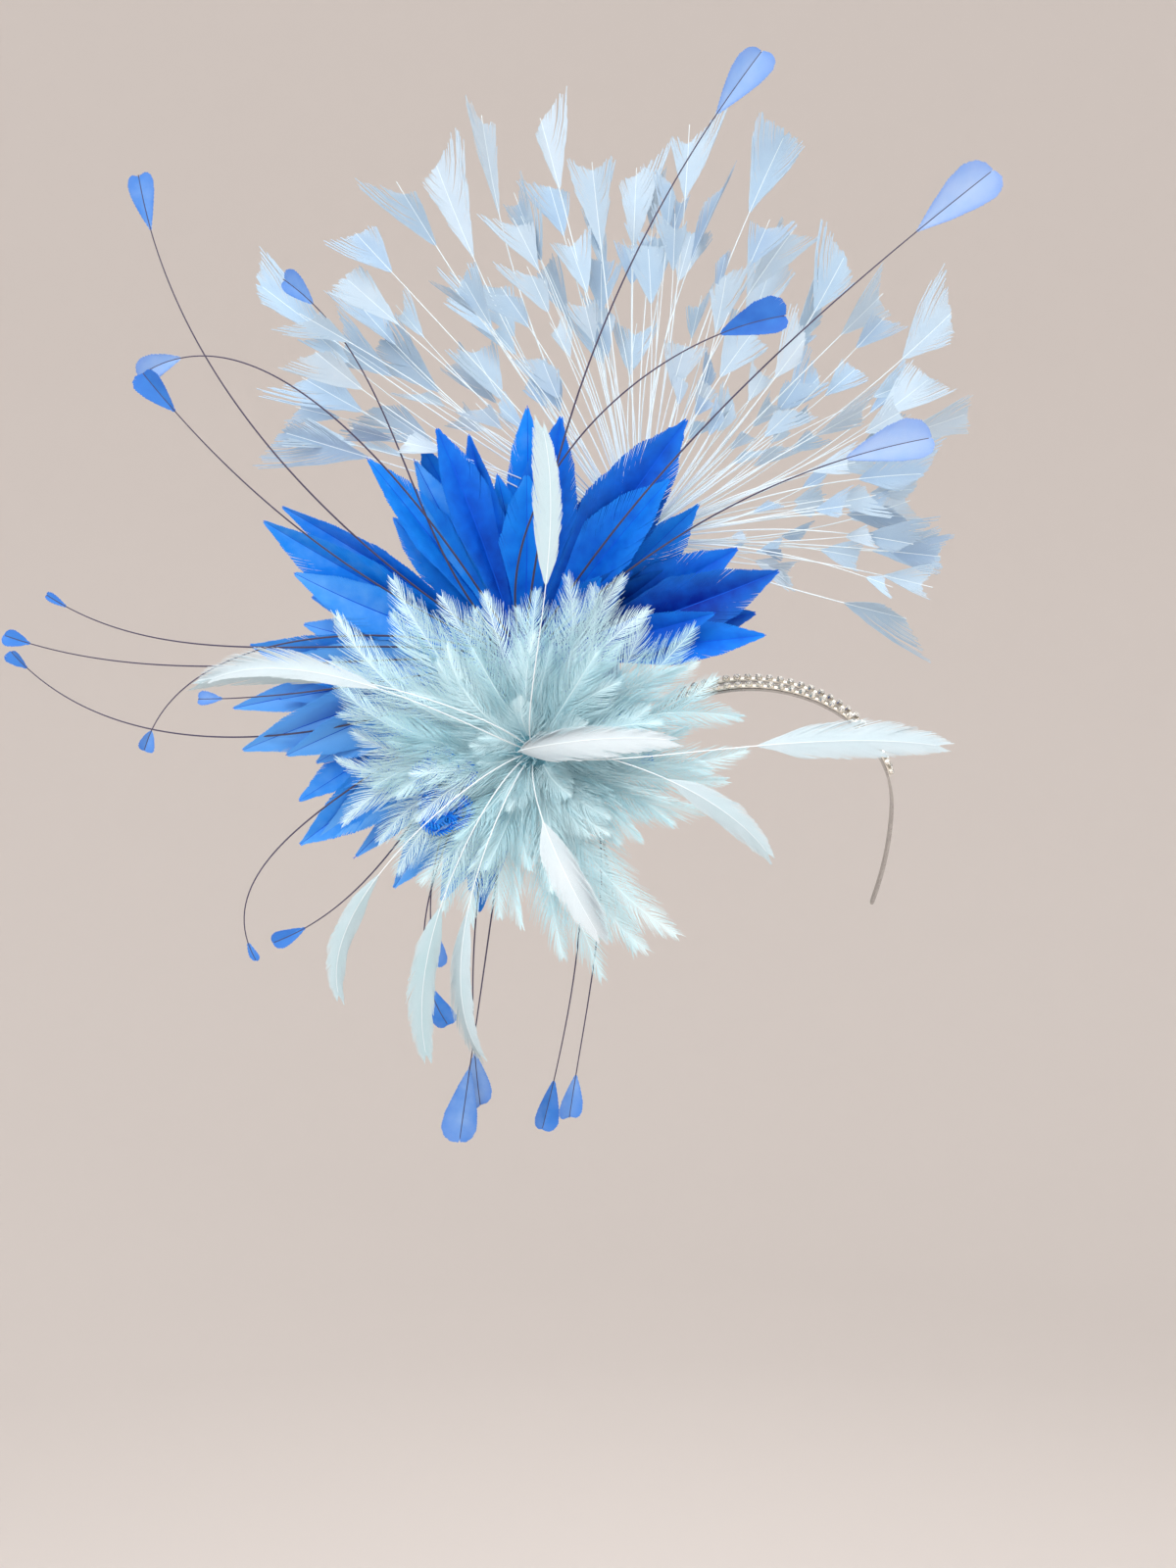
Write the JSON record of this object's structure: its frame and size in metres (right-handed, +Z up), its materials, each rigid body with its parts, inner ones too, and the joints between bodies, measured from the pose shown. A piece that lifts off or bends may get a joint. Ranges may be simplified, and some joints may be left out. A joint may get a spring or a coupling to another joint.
{
  "type": "feather fascinator",
  "caption": "Side-worn feather fascinator on a thin steel headband with twin crystal rows: royal blue petal ruff, pale hackle rosette, high fishtail spray, loose arrow-tip and coque feathers.",
  "frame": {"origin": "the band's inner face at the top centre of the head, where it sits on the wearer's crown", "axes": "+Z up, -Y the way the wearer faces, +X the wearer's left, which is the right-hand side of the picture"},
  "size_m": [0.4744, 0.2096, 0.5266],
  "materials": {
    "band_steel": "dark grey sprung steel",
    "crystal": "foil-backed clear crystals in silver cups",
    "sinamay": "pale blue sinamay and binding thread",
    "royal_feather": "dyed goose feather, soft sheen",
    "hackle_feather": "dyed soft hackle feather, matt",
    "fishtail_feather": "stripped and cut feather, thin",
    "arrow_feather": "dyed vane on a dark stripped quill",
    "coque_feather": "bleached coque feather, satin"
  },
  "bodies": {
    "root": {"headband": "band_steel", "crystal_row_front": "crystal", "crystal_row_back": "crystal", "saucer_base": "sinamay", "spray_stalk": "sinamay", "royal_ruff_back": "royal_feather", "royal_ruff_front": "royal_feather", "hackle_rosette": "hackle_feather", "fishtail_spray": "fishtail_feather", "arrow_tip_01": "arrow_feather", "arrow_tip_02": "arrow_feather", "arrow_tip_03": "arrow_feather", "arrow_tip_04": "arrow_feather", "arrow_tip_05": "arrow_feather", "arrow_tip_06": "arrow_feather", "arrow_tip_07": "arrow_feather", "arrow_tip_08": "arrow_feather", "arrow_tip_09": "arrow_feather", "arrow_tip_10": "arrow_feather", "arrow_tip_11": "arrow_feather", "arrow_tip_12": "arrow_feather", "arrow_tip_13": "arrow_feather", "arrow_tip_14": "arrow_feather", "arrow_tip_15": "arrow_feather", "arrow_tip_16": "arrow_feather", "arrow_tip_17": "arrow_feather", "arrow_tip_18": "arrow_feather", "arrow_tip_19": "arrow_feather", "arrow_tip_20": "arrow_feather", "arrow_tip_21": "arrow_feather", "coque_plume_01": "coque_feather", "coque_plume_02": "coque_feather", "coque_plume_03": "coque_feather", "coque_plume_04": "coque_feather", "coque_plume_05": "coque_feather", "coque_plume_06": "coque_feather", "coque_plume_07": "coque_feather", "coque_plume_08": "coque_feather", "coque_plume_09": "coque_feather", "coque_plume_10": "coque_feather"}
  },
  "joints": []
}
